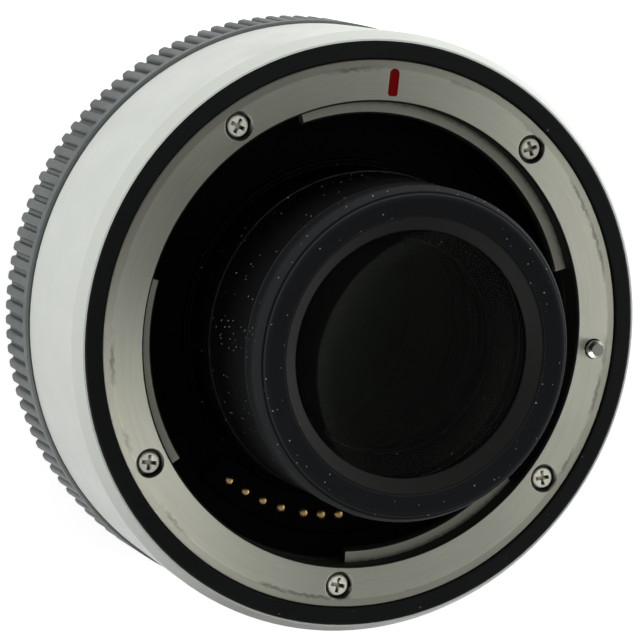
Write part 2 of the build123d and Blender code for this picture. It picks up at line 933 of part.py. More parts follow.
lens_1_top = glass_edge + sag(lens_1_curve, front_reach)
cement_1 = glass_edge - lens_1_rim + sag(cement_1_curve, front_rim)
lens_2_low = cement_1 - lens_2_middle
lens_2_seat = lens_2_low - sag(lens_2_curve, front_reach)
lens_3_top = lens_2_low - front_air
lens_3_seat = lens_3_top - sag(lens_3_curve, middle_reach)
cement_2 = lens_3_seat - lens_3_rim + sag(cement_2_curve, middle_rim)
cement_3 = cement_2 - lens_4_middle
lens_5_seat = cement_3 - sag(cement_3_curve, middle_rim) - lens_5_rim
lens_5_low = lens_5_seat + sag(lens_5_curve, middle_reach)
lens_6_top = rear_shoulder + sag(lens_6_curve, rear_reach)
lens_6_low = lens_6_top - lens_6_middle
lens_6_seat = lens_6_low - sag(lens_6_back_curve, rear_reach)
lens_7_seat = lens_7_front - sag(lens_7_curve, rear_reach)
keeper_top = lens_7_seat - lens_7_rim
lens_7_low = keeper_top + sag(lens_7_back_curve, rear_reach)


def face_edge(start, end, middle, curve):
    # The arc of a lens face between two radii, through the point halfway out
    half = (start + end) / 2
    return ThreePointArc((start, middle - sag(curve, start)), (half, middle - sag(curve, half)),
                         (end, middle - sag(curve, end)))


def lens(top, top_curve, top_reach, bottom, bottom_curve, bottom_reach, rim):
    # A lens turned about the axis. Each face curves out to its reach, and the rest of its rim is flat.
    high, low = top - sag(top_curve, top_reach), bottom - sag(bottom_curve, bottom_reach)
    corners = [(top_reach, high), (rim, high), (rim, low), (bottom_reach, low)]
    kept = [corner for i, corner in enumerate(corners) if i == 0 or math.dist(corner, corners[i - 1]) > 0]
    edges = [face_edge(0, top_reach, top, top_curve), face_edge(0, bottom_reach, bottom, bottom_curve)]
    edges += [Line(a, b) for a, b in zip(kept, kept[1:])]
    edges.append(Line((0, top), (0, bottom)))
    return revolve(Plane.XZ * make_face(edges), Axis.Z)


def lens_element_1():
    return lens(lens_1_top, lens_1_curve, front_reach, cement_1, cement_1_curve, front_rim, front_rim)


def lens_element_2():
    return lens(cement_1 - cement_gap, cement_1_curve, front_rim, lens_2_low, lens_2_curve, front_reach,
                front_rim)


def lens_element_3():
    return lens(lens_3_top, lens_3_curve, middle_reach, cement_2, cement_2_curve, middle_rim, middle_rim)


def lens_element_4():
    return lens(cement_2 - cement_gap, cement_2_curve, middle_rim, cement_3, cement_3_curve, middle_rim,
                middle_rim)


def lens_element_5():
    return lens(cement_3 - cement_gap, cement_3_curve, middle_rim, lens_5_low, lens_5_curve, middle_reach,
                middle_rim)


def lens_element_6():
    return lens(lens_6_top - seat_gap, lens_6_curve, rear_reach, lens_6_low, lens_6_back_curve, rear_reach,
                rear_rim)


def lens_element_7():
    return lens(lens_7_front, lens_7_curve, rear_reach, lens_7_low, lens_7_back_curve, rear_reach, rear_rim)


def front_spacer():
    # Fills the step of the cell's bore, with a bore of its own that opens towards the front group
    top, low = lens_2_seat - seat_gap, lens_3_seat + seat_gap
    step = low + front_bore_step
    return turned([
        (middle_reach, low),
        (middle_rim, low),
        (middle_rim, step),
        (front_rim, step),
        (front_rim, top),
        (front_reach, top),
        (middle_reach, step),
    ])


def rear_spacer():
    return ring(rear_reach, rear_rim, lens_7_seat + seat_gap, lens_6_seat - seat_gap)


def optical_cell():
    # A stepped sleeve: the front groups drop in from the lens side and the rear group from the camera side
    front_step = lens_3_seat + front_bore_step
    foot_high = rear_deck_high - seat_gap
    foot_low = foot_high - cell_foot_height
    return turned([
        (rear_rim + seat_gap, -cell_end),
        (cell_radius, -cell_end),
        (cell_radius, foot_low),
        (cell_radius + cell_foot_width, foot_low),
        (cell_radius + cell_foot_width, foot_high),
        (cell_radius, foot_high),
        (cell_radius, nose_web_low - seat_gap),
        (front_rim + seat_gap, nose_web_low - seat_gap),
        (front_rim + seat_gap, front_step),
        (middle_rim + seat_gap, front_step),
        (middle_rim + seat_gap, lens_5_seat - seat_gap),
        (middle_reach, lens_5_seat - seat_gap),
        (middle_reach, rear_shoulder),
        (rear_rim + seat_gap, rear_shoulder),
    ])


def rear_retaining_ring():
    return turned([
        (rear_rim - keeper_width, keeper_top - seat_gap),
        (rear_rim, keeper_top - seat_gap),
        (rear_rim, -cell_end),
        (rear_rim - edge_break, -cell_end),
    ])


# Camera-side bayonet ring and what sits round it


def rear_mount_ring():
    neck_end = register_height + neck_height
    end = neck_end + lug_height
    body = turned([
        (neck_bore, rear_flange_thickness),
        (neck_bore, -end),
        (neck_radius, -end),
        (neck_radius, -register_height),
        (register_radius, -register_height),
        (register_radius, 0),
        (rear_flange_radius - edge_break, 0),
        (rear_flange_radius, edge_break),
        (rear_flange_radius, rear_flange_thickness),
    ])
    lug = [
        (neck_bore + neck_wall / 2, -neck_end),
        (neck_bore + neck_wall / 2, -end),
        (lug_radius - lug_chamfer, -end),
        (lug_radius, lug_chamfer - end),
        (lug_radius, -neck_end),
    ]
    for angles in lug_angles:
        body += sector(lug, angles)
    sunk_top = rear_bolt_head_sink + bolt_head_height
    body -= posts(rear_bolt_head_radius + slide_gap, -overrun, sunk_top, rear_bolt_radius, rear_bolt_angles)
    body -= posts(bolt_shank_radius + slide_gap, 0, rear_flange_thickness + overrun, rear_bolt_radius,
                  rear_bolt_angles)
    slot = extrude(SlotOverall(lock_slot_length, lock_slot_width), lock_slot_depth + overrun)
    return body - place_round(Rot(0, 0, 90) * slot, bolt_radius, lock_angle, -overrun)


def rear_mount_screws():
    length = rear_deck_high - rear_bolt_head_sink - bolt_head_height - wide_gap
    one = Rot(180, 0, 0) * screw(rear_bolt_head_radius, bolt_head_height, bolt_shank_radius, length)
    return Part() + [place_round(one, rear_bolt_radius, angle, rear_bolt_head_sink)
                     for angle in rear_bolt_angles]


def mount_shim():
    body = ring(neck_bore + shim_inset, rear_flange_radius - shim_inset, rear_flange_thickness + seat_gap,
                rear_deck_low - seat_gap)
    return body - posts(bolt_shank_radius + slide_gap, 0, rear_deck_low + overrun, rear_bolt_radius,
                        rear_bolt_angles)


def rear_seal_ring():
    return turned([
        (seal_inner, rear_deck_low - seat_gap),
        (seal_inner, 0),
        (seal_inner + seal_bevel, -seal_proud),
        (seal_outer - seal_bevel, -seal_proud),
        (seal_outer, 0),
        (seal_outer, rear_deck_low - seat_gap),
    ])


def rear_trim_ring():
    ledge = grip_low + grip_step - seat_gap
    return turned([
        (rear_trim_inner, rear_trim_low + trim_edge),
        (rear_trim_inner + trim_edge, rear_trim_low),
        (rear_trim_outer - trim_edge, rear_trim_low),
        (rear_trim_outer, rear_trim_low + trim_edge),
        (rear_trim_outer, ledge),
        (shell_inner, ledge),
        (shell_inner, rear_deck_low - seat_gap),
        (rear_trim_inner, rear_deck_low - seat_gap),
    ])


def rear_baffle():
    outer = neck_bore - fit_gap
    inner_wall = outer - baffle_collar
    bore = cell_radius + baffle_bore_gap
    throat = -cell_end - baffle_plate
    body = turned([
        (outer, rear_deck_low - wide_gap),
        (outer, -baffle_end),
        (inner_wall, -baffle_end),
        (inner_wall, throat - baffle_slope),
        (bore, throat),
        (bore, throat + baffle_plate + overrun),
        (bore + baffle_plate, throat + baffle_plate),
        (inner_wall, throat - baffle_slope + baffle_plate),
        (inner_wall, rear_deck_low - wide_gap),
    ])
    notch = band(block_inner_radius - fit_gap, outer + overrun, -baffle_end - overrun, rear_deck_low)
    return body - sector(notch, widened(block_angles, block_inner_radius, slide_gap))


def rear_contact_block():
    outer = neck_bore - fit_gap
    body = sector(band(block_inner_radius, outer, -rear_block_end, rear_block_top), block_angles)
    return body - posts(pad_radius + seat_gap, -rear_block_end - overrun, pad_depth - rear_block_end,
                        contact_radius, contact_angles)


def rear_contact_pads():
    low, high = -rear_block_end - pad_proud, pad_depth - rear_block_end - seat_gap
    return Part() + posts(pad_radius, low, high, contact_radius, contact_angles)


pieces = [
    front_mount_ring, front_index_mark, front_mount_screws, bayonet_leaf_springs,
    lock_pin, lock_pin_bush, lock_pin_spring, release_arm, release_lever,
    body_shell, front_trim_ring, seam_band, grip_ring, rear_index_mark,
    chassis, throat_liner, circuit_board, board_screws, board_chips, front_flex, rear_flex,
    contact_block, contact_base, contact_pins, contact_springs,
    lens_barrel, barrel_screws, nose_ring, front_retaining_ring, optical_cell,
    lens_element_1, lens_element_2, front_spacer, lens_element_3, lens_element_4, lens_element_5,
    lens_element_6, rear_spacer, lens_element_7, rear_retaining_ring,
    rear_mount_ring, rear_mount_screws, mount_shim, rear_seal_ring, rear_trim_ring,
    rear_baffle, rear_contact_block, rear_contact_pads,
]

for piece in pieces:
    export_step(piece(), f"parts/{piece.__name__}.step")
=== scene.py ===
import json
import math

import bmesh
import bpy
from mathutils import Matrix, Vector

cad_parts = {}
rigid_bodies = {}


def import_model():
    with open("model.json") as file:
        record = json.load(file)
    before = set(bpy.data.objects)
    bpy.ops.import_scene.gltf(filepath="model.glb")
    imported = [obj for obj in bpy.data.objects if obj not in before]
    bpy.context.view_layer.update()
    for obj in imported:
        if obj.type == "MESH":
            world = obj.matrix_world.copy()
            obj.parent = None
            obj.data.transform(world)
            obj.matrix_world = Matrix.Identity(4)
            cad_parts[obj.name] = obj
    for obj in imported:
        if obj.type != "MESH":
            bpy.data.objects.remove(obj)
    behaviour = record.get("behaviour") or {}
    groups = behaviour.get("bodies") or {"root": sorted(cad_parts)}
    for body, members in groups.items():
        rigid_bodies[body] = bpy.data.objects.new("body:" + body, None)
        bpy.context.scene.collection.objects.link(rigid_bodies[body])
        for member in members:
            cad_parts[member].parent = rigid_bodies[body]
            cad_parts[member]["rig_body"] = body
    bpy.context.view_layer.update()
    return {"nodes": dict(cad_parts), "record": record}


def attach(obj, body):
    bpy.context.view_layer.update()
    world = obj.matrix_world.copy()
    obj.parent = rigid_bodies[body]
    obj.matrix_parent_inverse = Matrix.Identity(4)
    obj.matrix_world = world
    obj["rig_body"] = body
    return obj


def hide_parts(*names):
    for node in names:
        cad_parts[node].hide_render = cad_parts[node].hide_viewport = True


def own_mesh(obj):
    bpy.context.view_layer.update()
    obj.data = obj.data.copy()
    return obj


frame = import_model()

nodes = frame["nodes"]
mm = 0.001
perMetre = 1000                 # millimetres in a metre
print("frame loaded with", len(nodes), "nodes")


# Helpers for objects and node trees

def addObject(name, data):
    thing = bpy.data.objects.new(name, data)
    bpy.context.scene.collection.objects.link(thing)
    return thing


def feed(tree, socket, value):
    if isinstance(value, bpy.types.NodeSocket):
        tree.links.new(value, socket)
    else:
        socket.default_value = value


def addNode(tree, kind, inputs=None, **settings):
    node = tree.nodes.new(kind)
    for name, value in settings.items():
        setattr(node, name, value)
    for name, value in (inputs or {}).items():
        feed(tree, node.inputs[name], value)
    return node


def sums(tree, operation, first, second=0.0, third=0.0, clamp=False):
    values = {0: first, 1: second, 2: third}
    return addNode(tree, "ShaderNodeMath", values, operation=operation, use_clamp=clamp).outputs[0]


def vectors(tree, operation, *values):
    node = addNode(tree, "ShaderNodeVectorMath", dict(enumerate(values)), operation=operation)
    return node.outputs["Value" if operation in ("LENGTH", "DOT_PRODUCT") else "Vector"]


def ranged(tree, value, low, high, newLow=0.0, newHigh=1.0):
    node = addNode(tree, "ShaderNodeMapRange", {"Value": value, "From Min": low, "From Max": high,
                                                "To Min": newLow, "To Max": newHigh})
    return node.outputs[0]


def mixed(tree, share, first, second):
    return addNode(tree, "ShaderNodeMix", {0: share, 6: first, 7: second}, data_type="RGBA").outputs[2]


def noise(tree, place, scale, detail, roughness=0.5):
    return addNode(tree, "ShaderNodeTexNoise", {"Vector": place, "Scale": scale, "Detail": detail,
                                                "Roughness": roughness})


def objectPlace(tree):
    return addNode(tree, "ShaderNodeTexCoord").outputs["Object"]


def heightOf(tree, vector):
    return addNode(tree, "ShaderNodeSeparateXYZ", {0: vector}).outputs["Z"]


def solid(colour):
    return (*colour, 1)


def tinted(tree, colour, cover, share, tint):
    return mixed(tree, sums(tree, "MULTIPLY", cover, share), colour, solid(tint))


# Camera: a long lens that looks down into the mount from the left

photoView = {
    "lens": 199.6, "sensor": 36,            # millimetres
    "turns": (9.38, 21.98, -6.55),          # degrees about X, Y and Z
    "move": (5.4007, -1.8974, -414.47),     # millimetres
    "flange": 28.3,                         # height of the face that it turns about
    "clip": (0.01, 50),                     # metres
}


def placeCamera(look):
    turnX, turnY, turnZ = (math.radians(turn) for turn in look["turns"])
    view = Matrix.Translation(Vector(look["move"]) * mm)
    view @= Matrix.Rotation(turnX, 4, "X") @ Matrix.Rotation(turnY, 4, "Y") @ Matrix.Rotation(turnZ, 4, "Z")
    view @= Matrix.Translation((0, 0, -look["flange"] * mm))
    lens = bpy.data.cameras.new("photoCamera")
    lens.lens = look["lens"]
    lens.sensor_width = look["sensor"]
    lens.clip_start, lens.clip_end = look["clip"]
    camera = addObject("photoCamera", lens)
    camera.matrix_world = view.inverted()
    bpy.context.scene.camera = camera


placeCamera(photoView)
bpy.context.scene.view_settings.view_transform = "Standard"


# Shared effects. Sizes are in millimetres and noise scales are per metre; a pair is a range.

usualNoise = (0.3, 0.7)
effects = {
    "lathe": {"climb": 1.37, "bandShape": (1.7, 1.7, 0.13)},
    "dust": {"rarity": 3.0, "bendScale": 420.0, "bend": 0.004, "thread": (0.005, 0.002),
             "fewScale": 230.0, "few": (0.82, 0.84)},
    "wear": {"scale": 900.0, "broken": (0.35, 0.65), "turn": (0.98, 0.85)},
    "shadeAndDirt": {"scale": 1500.0, "drift": 0.3},
    "rim": {"scale": 1100.0, "border": 0.12, "near": (0.3, 0.05), "patchScale": 130.0, "patch": (0.5, 0.62)},
}


def startGroup(name, inputs, outputs):
    group = bpy.data.node_groups.new(name, "ShaderNodeTree")
    for label, value in inputs.items():
        socket = group.interface.new_socket(name=label, in_out="INPUT", socket_type="NodeSocketFloat")
        socket.default_value = value
    for label in outputs:
        group.interface.new_socket(name=label, in_out="OUTPUT", socket_type="NodeSocketFloat")
    return group, group.nodes.new("NodeGroupInput").outputs, group.nodes.new("NodeGroupOutput").inputs


def placeGroup(tree, group, values):
    node = tree.nodes.new("ShaderNodeGroup")
    node.node_tree = group
    for label, value in values.items():
        node.inputs[label].default_value = value
    return node.outputs


def ringPlace(tree, place):
    # Distance from the axis and height, in millimetres
    radius = vectors(tree, "LENGTH", vectors(tree, "MULTIPLY", place, (perMetre, perMetre, 0)))
    return radius, sums(tree, "MULTIPLY", heightOf(tree, place), perMetre)


def makeLatheMarks(form):
    # Fine lines left by the lathe: they run round the axis on flat faces and on tubes alike
    group, given, result = startGroup("latheMarks", {"Spacing": 0.1, "Run": 3.0}, ("Lines", "Bands"))
    place = objectPlace(group)
    flat = vectors(group, "MULTIPLY", place, (1, 1, 0))
    aim = addNode(group, "ShaderNodeSeparateXYZ", {0: vectors(group, "NORMALIZE", flat)}).outputs
    track = sums(group, "MULTIPLY_ADD", heightOf(group, place), form["climb"], vectors(group, "LENGTH", flat))
    track = sums(group, "DIVIDE", sums(group, "MULTIPLY", track, perMetre), given["Spacing"])
    across = addNode(group, "ShaderNodeCombineXYZ", {
        0: sums(group, "MULTIPLY", aim["X"], given["Run"]),
        1: sums(group, "MULTIPLY", aim["Y"], given["Run"]),
        2: track}).outputs[0]
    paintedLines = noise(group, across, 1.0, 3.0, 0.6)
    bands = noise(group, vectors(group, "MULTIPLY", across, form["bandShape"]), 1.0, 2.0)
    for label, found in (("Lines", paintedLines), ("Bands", bands)):
        feed(group, result[label], ranged(group, found.outputs["Fac"], *usualNoise))
    return group


def makeSurfaceGrain():
    # Fine grain of paint, moulding or blasting, and broad uneven patches
    group, given, result = startGroup("surfaceGrain", {"Size": 0.2, "Patch": 6.0}, ("Grain", "Patches"))
    place = objectPlace(group)
    fine = noise(group, place, sums(group, "DIVIDE", perMetre, given["Size"]), 3.0, 0.55)
    broad = noise(group, place, sums(group, "DIVIDE", perMetre, given["Patch"]), 4.0, 0.6)
    for label, found in (("Grain", fine), ("Patches", broad)):
        feed(group, result[label], ranged(group, found.outputs["Fac"], *usualNoise))
    return group


def makeSettledDust(form):
    # Specks of many sizes, and a few curled fibres
    group, given, result = startGroup("settledDust", {"Cell": 1.2, "Speck": 0.12, "Fibre": 5.0},
                                      ("Specks", "Fibres"))
    place = objectPlace(group)
    cells = addNode(group, "ShaderNodeTexVoronoi", {
        "Vector": place, "Scale": sums(group, "DIVIDE", perMetre, given["Cell"])}).outputs
    chance = addNode(group, "ShaderNodeSeparateColor", {0: cells["Color"]}).outputs["Red"]
    size = sums(group, "MULTIPLY", sums(group, "POWER", chance, form["rarity"]), given["Speck"])
    feed(group, result["Specks"], sums(group, "LESS_THAN", cells["Distance"], size))
    drift = noise(group, place, form["bendScale"], 2.0).outputs["Color"]
    bent = vectors(group, "MULTIPLY_ADD", drift, (form["bend"],) * 3, place)
    webs = addNode(group, "ShaderNodeTexVoronoi", {
        "Vector": bent, "Scale": sums(group, "DIVIDE", perMetre, given["Fibre"])},
        feature="DISTANCE_TO_EDGE")
    thin = ranged(group, webs.outputs["Distance"], *form["thread"])
    few = ranged(group, noise(group, place, form["fewScale"], 0.0).outputs["Fac"], *form["few"])
    feed(group, result["Fibres"], sums(group, "MULTIPLY", thin, few, clamp=True))
    return group


def makeEdgeWear(form):
    # Bare metal or polish on outer edges, broken up by noise
    group, given, result = startGroup("edgeWear", {"Reach": 0.12, "Break": 0.5}, ("Wear",))
    reach = sums(group, "MULTIPLY", given["Reach"], mm)
    soft = addNode(group, "ShaderNodeBevel", {"Radius": reach}, samples=6).outputs[0]
    hard = addNode(group, "ShaderNodeNewGeometry").outputs["Normal"]
    turn = ranged(group, vectors(group, "DOT_PRODUCT", soft, hard), *form["turn"])
    gaps = noise(group, objectPlace(group), form["scale"], 4.0).outputs["Fac"]
    gaps = sums(group, "MULTIPLY", ranged(group, gaps, *form["broken"]), given["Break"])
    feed(group, result["Wear"], sums(group, "MULTIPLY", turn, sums(group, "SUBTRACT", 1.0, gaps), clamp=True))
    return group


def makeRecessShadeAndDirt(form):
    # Painted shade in recesses, slots and inner corners, from ambient occlusion, with some dirt there too
    group, given, result = startGroup("recessShadeAndDirt", {"Reach": 0.6, "Low": 0.35, "High": 0.75}, ("ShadeAndDirt",))
    reach = sums(group, "MULTIPLY", given["Reach"], mm)
    shade = addNode(group, "ShaderNodeAmbientOcclusion", {"Distance": reach}, samples=8, only_local=True)
    drift = noise(group, objectPlace(group), form["scale"], 3.0).outputs["Fac"]
    drift = sums(group, "MULTIPLY_ADD", drift, form["drift"], -form["drift"] / 2)
    level = sums(group, "ADD", shade.outputs["AO"], drift)
    feed(group, result["ShadeAndDirt"], ranged(group, level, given["High"], given["Low"]))
    return group


def makeRimWear(form):
    # A dull band round a ring's face, with ragged marks along its inner border
    group, given, result = startGroup("rimWear", {"Radius": 31.3, "Height": 28.2, "Ragged": 1.0},
                                      ("Band", "Marks"))
    place = objectPlace(group)
    radius, height = ringPlace(group, place)
    above = sums(group, "GREATER_THAN", height, given["Height"])
    track = sums(group, "SUBTRACT", radius, given["Radius"])
    feed(group, result["Band"], sums(group, "MULTIPLY", ranged(group, track, 0.0, form["border"]), above))
    shift = sums(group, "SUBTRACT", noise(group, place, form["scale"], 4.0, 0.65).outputs["Fac"], 0.5)
    track = sums(group, "ABSOLUTE", sums(group, "MULTIPLY_ADD", shift, given["Ragged"], track))
    near = sums(group, "MULTIPLY", ranged(group, track, *form["near"]), above)
    patch = ranged(group, noise(group, place, form["patchScale"], 4.0).outputs["Fac"], *form["patch"])
    feed(group, result["Marks"], sums(group, "MULTIPLY", near, patch, clamp=True))
    return group


def makeRingLine():
    # A line or soft band that runs round the axis through one point of the profile
    group, given, result = startGroup("ringLine", {"Radius": 19.0, "Height": 39.0, "Width": 0.1,
                                                   "Core": 0.05}, ("Line",))
    radius, height = ringPlace(group, objectPlace(group))
    out = sums(group, "SUBTRACT", radius, given["Radius"])
    up = sums(group, "SUBTRACT", height, given["Height"])
    away = sums(group, "SQRT", sums(group, "MULTIPLY_ADD", out, out, sums(group, "MULTIPLY", up, up)))
    feed(group, result["Line"], ranged(group, away, given["Width"], given["Core"]))
    return group


latheMarks = makeLatheMarks(effects["lathe"])
surfaceGrain = makeSurfaceGrain()
settledDust = makeSettledDust(effects["dust"])
edgeWear = makeEdgeWear(effects["wear"])
recessShadeAndDirt = makeRecessShadeAndDirt(effects["shadeAndDirt"])
rimWear = makeRimWear(effects["rim"])
ringLine = makeRingLine()


# Finishes. Colours are linear, sizes are in millimetres.

finishes = {
    "shellEnamel": {
        "slot": "white_paint",
        "colour": (0.60, 0.63, 0.585), "worn": (0.5, 0.5, 0.45), "dark": (0.5, 0.52, 0.46),
        "roughness": 0.36, "roughnessSpread": 0.08, "grainSize": 0.22, "grainHeight": 0.004,
        "patchTone": 0.1, "dust": 0.25, "dustColour": (0.25, 0.25, 0.22), "wear": 0.1, "specular": 0.4,
    },
    "mountSteel": {
        "slot": "mount_steel",
        "colour": (0.82, 0.83, 0.7), "worn": (0.95, 0.95, 0.86), "dark": (0.42, 0.42, 0.35),
        "metallic": 1.0, "roughness": 0.46, "roughnessSpread": 0.04, "grainSize": 0.15, "grainHeight": 0.0006,
        "lineSpacing": 0.06, "lineHeight": 0.0006, "lineTone": 0.2, "patchTone": 0.06, "anisotropic": 0.9,
        "dust": 0.15, "dustColour": (0.5, 0.5, 0.45), "wear": 0.9, "shadeAndDirt": 0.95, "shadeAndDirtReach": 1.1,
        "rim": {
            "place": {"Radius": 31.3, "Height": 28.1, "Ragged": 1.0},
            "wearInside": 0.15,
            "shadedWallFacing": (0.98, 0.75), "paintedWallShade": (0.07, 0.068, 0.06),      # painted shade on the steel's steep walls, outside the band
            "bandTone": 0.35, "bandRoughness": 0.12, "markTone": 0.6, "markColour": (0.12, 0.12, 0.1),
        },
    },
    "screwSteel": {
        "slot": "screw_steel",
        "colour": (0.88, 0.87, 0.78), "worn": (0.95, 0.94, 0.84), "dark": (0.3, 0.3, 0.26),
        "metallic": 1.0, "roughness": 0.72, "roughnessSpread": 0.1, "grainSize": 0.12, "grainHeight": 0.002,
        "patchTone": 0.1, "dust": 0.3, "dustColour": (0.4, 0.4, 0.35), "wear": 0.6, "shadeAndDirt": 1.0,
        "shadeAndDirtReach": 0.5,
    },
    "springSteel": {
        "slot": "spring_steel",
        "colour": (0.55, 0.55, 0.5), "worn": (0.6, 0.6, 0.55), "dark": (0.15, 0.15, 0.14),
        "metallic": 1.0, "roughness": 0.3, "roughnessSpread": 0.1, "grainSize": 0.2, "grainHeight": 0.001,
        "patchTone": 0.15, "wear": 0.3,
    },
    "tubeBlack": {
        "slot": "black_alloy",
        "colour": (0.0105, 0.0112, 0.0122), "worn": (0.2, 0.2, 0.2), "dark": (0.0065, 0.007, 0.0076),
        "roughness": 0.45, "roughnessSpread": 0.02, "grainSize": 0.09, "grainHeight": 0.003,
        "lineSpacing": 0.12, "lineHeight": 0.0008, "lineTone": 0.1, "patchTone": 0.1,
        "dust": 0.9, "dustColour": (0.3, 0.3, 0.28), "dustCell": 0.6, "dustSpeck": 0.16,
        "wear": 0.9, "specular": 0.02, "sheen": 0.2,
        "paintedLines": (      # painted lines round the axis, highlights and one darker line: radius, height, width, core, tone
            (19.2, 42.4, 1.6, 0.5, 0.021), (18.75, 43.1, 0.2, 0.06, 0.0035),
            (18.5, 43.2, 0.12, 0.06, 0.03), (19.3, 39.35, 0.12, 0.06, 0.04)),
    },
    # A darker copy of tubeBlack for the lens barrel: painted shade, as the barrel sits deep in the throat.
    # Its lines add a broad painted glow and a thin painted highlight line.
    "barrelBlack": {
        "nodes": ("lens_barrel",),
        "colour": (0.0011, 0.0012, 0.0013), "worn": (0.3, 0.3, 0.3), "dark": (0.0008, 0.0008, 0.0009),
        "roughness": 0.45, "roughnessSpread": 0.06, "grainSize": 0.09, "grainHeight": 0.003,
        "lineSpacing": 0.12, "lineHeight": 0.0008, "lineTone": 0.1, "patchTone": 0.15,
        "dust": 0.9, "dustColour": (0.3, 0.3, 0.28), "dustCell": 0.6, "dustSpeck": 0.16,
        "wear": 0.25, "specular": 0.02,
        "paintedLines": ((19.3, 39.3, 8.0, 0.1, 0.0055), (19.3, 39.3, 0.16, 0.08, 0.04)),
    },
    "bezelBlack": {
        "nodes": ("front_retaining_ring",),
        "colour": (0.012, 0.013, 0.0115), "worn": (0.05, 0.05, 0.048), "dark": (0.006, 0.0065, 0.006),
        "roughness": 0.5, "roughnessSpread": 0.06, "grainSize": 0.09, "grainHeight": 0.003,
        "lineSpacing": 0.1, "lineHeight": 0.0006, "lineTone": 0.1, "patchTone": 0.1,
        "dust": 0.5, "dustColour": (0.16, 0.16, 0.15), "wear": 0.3, "specular": 0.08,
    },
    "frameBlack": {
        "slot": "frame_alloy",
        "colour": (0.02, 0.02, 0.021), "worn": (0.3, 0.3, 0.3), "dark": (0.01, 0.01, 0.01),
        "roughness": 0.5, "roughnessSpread": 0.1, "grainSize": 0.3, "grainHeight": 0.004, "patchTone": 0.2,
        "wear": 0.3, "specular": 0.3,
    },
    "gripPaint": {
        "slot": "grip_paint",
        "colour": (0.094, 0.106, 0.104), "worn": (0.15, 0.16, 0.155), "dark": (0.07, 0.08, 0.078),
        "roughness": 0.46, "roughnessSpread": 0.08, "grainSize": 0.12, "grainHeight": 0.005,
        "patchTone": 0.15, "dust": 0.2, "dustColour": (0.3, 0.3, 0.28), "wear": 0.3, "specular": 0.2,
        "shadeAndDirt": 0.5, "shadeAndDirtReach": 0.8,
    },
    "trimPlastic": {
        "slot": "black_plastic",
        "colour": (0.006, 0.0066, 0.0068), "worn": (0.06, 0.06, 0.06), "dark": (0.005, 0.005, 0.005),
        "roughness": 0.5, "roughnessSpread": 0.08, "grainSize": 0.1, "grainHeight": 0.004, "patchTone": 0.15,
        "dust": 0.5, "dustColour": (0.2, 0.2, 0.19), "wear": 0.2, "specular": 0.1,
    },
    "throatBlack": {
        "slot": "throat_black",
        "colour": (0.0012, 0.0012, 0.0012), "worn": (0.01, 0.01, 0.01), "dark": (0.0006, 0.0006, 0.0006),
        "roughness": 0.6, "roughnessSpread": 0.1, "grainSize": 0.1, "grainHeight": 0.004,
        "lineSpacing": 0.25, "lineHeight": 0.01, "lineTone": 0.3, "patchTone": 0.2,
        "dust": 0.2, "dustColour": (0.05, 0.05, 0.045), "wear": 0.15, "specular": 0.04,
    },
    "indexRed": {
        "slot": "index_red",
        "colour": (0.15, 0.001, 0.002), "worn": (0.25, 0.01, 0.01), "dark": (0.08, 0.0005, 0.001),
        "roughness": 0.4, "roughnessSpread": 0.1, "grainSize": 0.15, "grainHeight": 0.006, "patchTone": 0.3,
        "wear": 0.1, "specular": 0.03,
    },
    "contactGold": {
        "slot": "gold",
        "colour": (1.0, 0.7, 0.3), "worn": (1.0, 0.9, 0.6), "dark": (0.3, 0.17, 0.04),
        "metallic": 1.0, "roughness": 0.34, "roughnessSpread": 0.1, "grainSize": 0.08, "grainHeight": 0.001,
        "patchTone": 0.3, "wear": 0.3,
    },
    "leafBronze": {
        "slot": "bronze",
        "colour": (0.42, 0.27, 0.1), "worn": (0.7, 0.5, 0.25), "dark": (0.15, 0.09, 0.03),
        "metallic": 1.0, "roughness": 0.3, "roughnessSpread": 0.1, "grainSize": 0.1, "grainHeight": 0.001,
        "lineSpacing": 0.08, "lineHeight": 0.001, "lineTone": 0.15, "patchTone": 0.25, "wear": 0.3,
    },
    "sealRubber": {
        "slot": "rubber",
        "colour": (0.008, 0.008, 0.009), "worn": (0.03, 0.03, 0.03), "dark": (0.004, 0.004, 0.004),
        "roughness": 0.7, "roughnessSpread": 0.1, "grainSize": 0.08, "grainHeight": 0.006, "patchTone": 0.2,
        "dust": 0.5, "dustColour": (0.12, 0.12, 0.11), "wear": 0.1, "specular": 0.2,
    },
    "boardGreen": {
        "slot": "board",
        "colour": (0.01, 0.09, 0.035), "worn": (0.4, 0.3, 0.12), "dark": (0.006, 0.05, 0.02),
        "roughness": 0.3, "roughnessSpread": 0.1, "grainSize": 0.5, "grainHeight": 0.004, "patchTone": 0.5,
        "wear": 0.3, "specular": 0.5,
    },
    "leadFilm": {
        "slot": "flex",
        "colour": (0.42, 0.17, 0.03), "worn": (0.6, 0.3, 0.1), "dark": (0.2, 0.08, 0.015),
        "roughness": 0.3, "roughnessSpread": 0.1, "grainSize": 0.3, "grainHeight": 0.001, "patchTone": 0.4,
        "wear": 0.1, "specular": 0.5,
    },
}

# What every finish shares
common = {
    "sheenTurn": 0.25,                          # the sheen spreads across the lathe marks
    "bandLift": 1.2,                            # how much lighter the lathe's broad bands are
    "paintedLineTint": (1, 1.05, 1.1),                 # painted lines lean towards blue
    # colour and roughness of the painted shade and dirt in recesses
    "shadeAndDirtColour": (0.012, 0.012, 0.011), "shadeAndDirtRoughness": 0.3,
    "dustCell": 1.2, "dustSpeck": 0.12,
}


